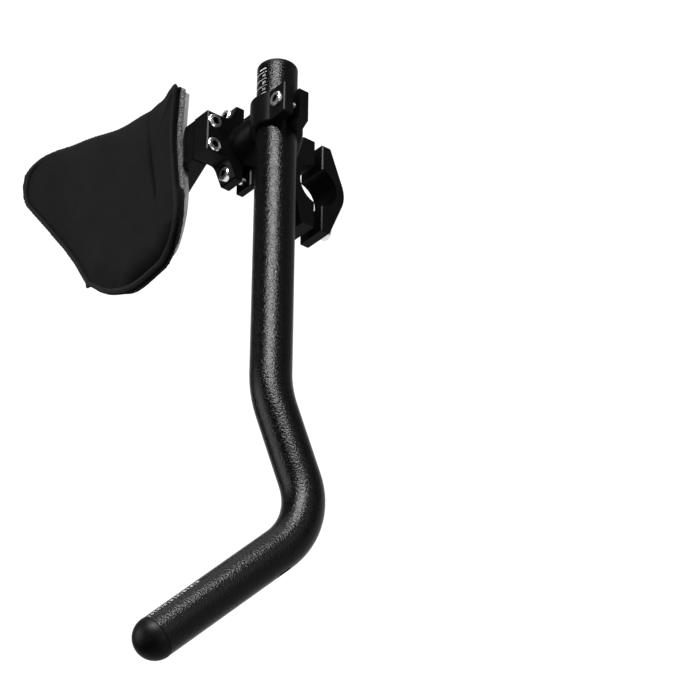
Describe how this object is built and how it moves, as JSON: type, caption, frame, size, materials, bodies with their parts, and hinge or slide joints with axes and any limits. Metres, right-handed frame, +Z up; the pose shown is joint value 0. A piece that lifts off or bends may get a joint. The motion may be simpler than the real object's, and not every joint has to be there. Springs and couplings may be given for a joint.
{
  "type": "aero handlebar extension",
  "caption": "Clip-on aero bar unit: split handlebar clamp, S-bent extension tube in a tilting split ring, and a trough-shaped padded arm rest on a side bracket.",
  "frame": {"origin": "centre of the handlebar bore", "axes": "+X along the handlebar towards the extension, -Y forward along the extension, +Z up"},
  "size_m": [0.2113, 0.3922, 0.1324],
  "materials": {
    "black_anodised": "satin black anodised, bright chamfers",
    "black_tube": "fine-grained satin black",
    "screw_steel": "bright zinc-plated steel",
    "plug_rubber": "smooth black rubber",
    "plate_aluminium": "plain satin aluminium",
    "hook_tape": "rough grey hook tape",
    "loop_tape": "rough grey loop tape",
    "pad_fabric": "matte black knit over foam"
  },
  "bodies": {
    "clamp": {"clamp_body": "black_anodised", "handlebar_cap": "black_anodised", "handlebar_bolt_front": "screw_steel", "handlebar_bolt_rear": "screw_steel", "top_cap": "black_anodised", "top_bolt_front": "screw_steel", "top_bolt_rear": "screw_steel", "pad_bracket": "black_anodised", "bracket_bolt_front": "screw_steel", "bracket_bolt_rear": "screw_steel", "pad_plate": "plate_aluminium", "plate_screw_inner": "screw_steel", "plate_screw_outer": "screw_steel", "hook_sheet": "hook_tape", "loop_sheet": "loop_tape", "arm_pad": "pad_fabric"},
    "holder": {"extension_holder": "black_anodised", "holder_bolt": "screw_steel"},
    "extension": {"extension_tube": "black_tube", "front_end_plug": "plug_rubber", "rear_end_plug": "plug_rubber"}
  },
  "joints": [
    {"name": "extension_tilt", "type": "hinge", "parent": "clamp", "child": "holder", "pos_m": [0, 0.002, 0.051], "axis": [1, 0, 0], "range_deg": [-15, 15]},
    {"name": "extension_reach", "type": "slide", "parent": "holder", "child": "extension", "axis": [0, -1, 0], "range_m": [-0.1, 0.015]}
  ]
}
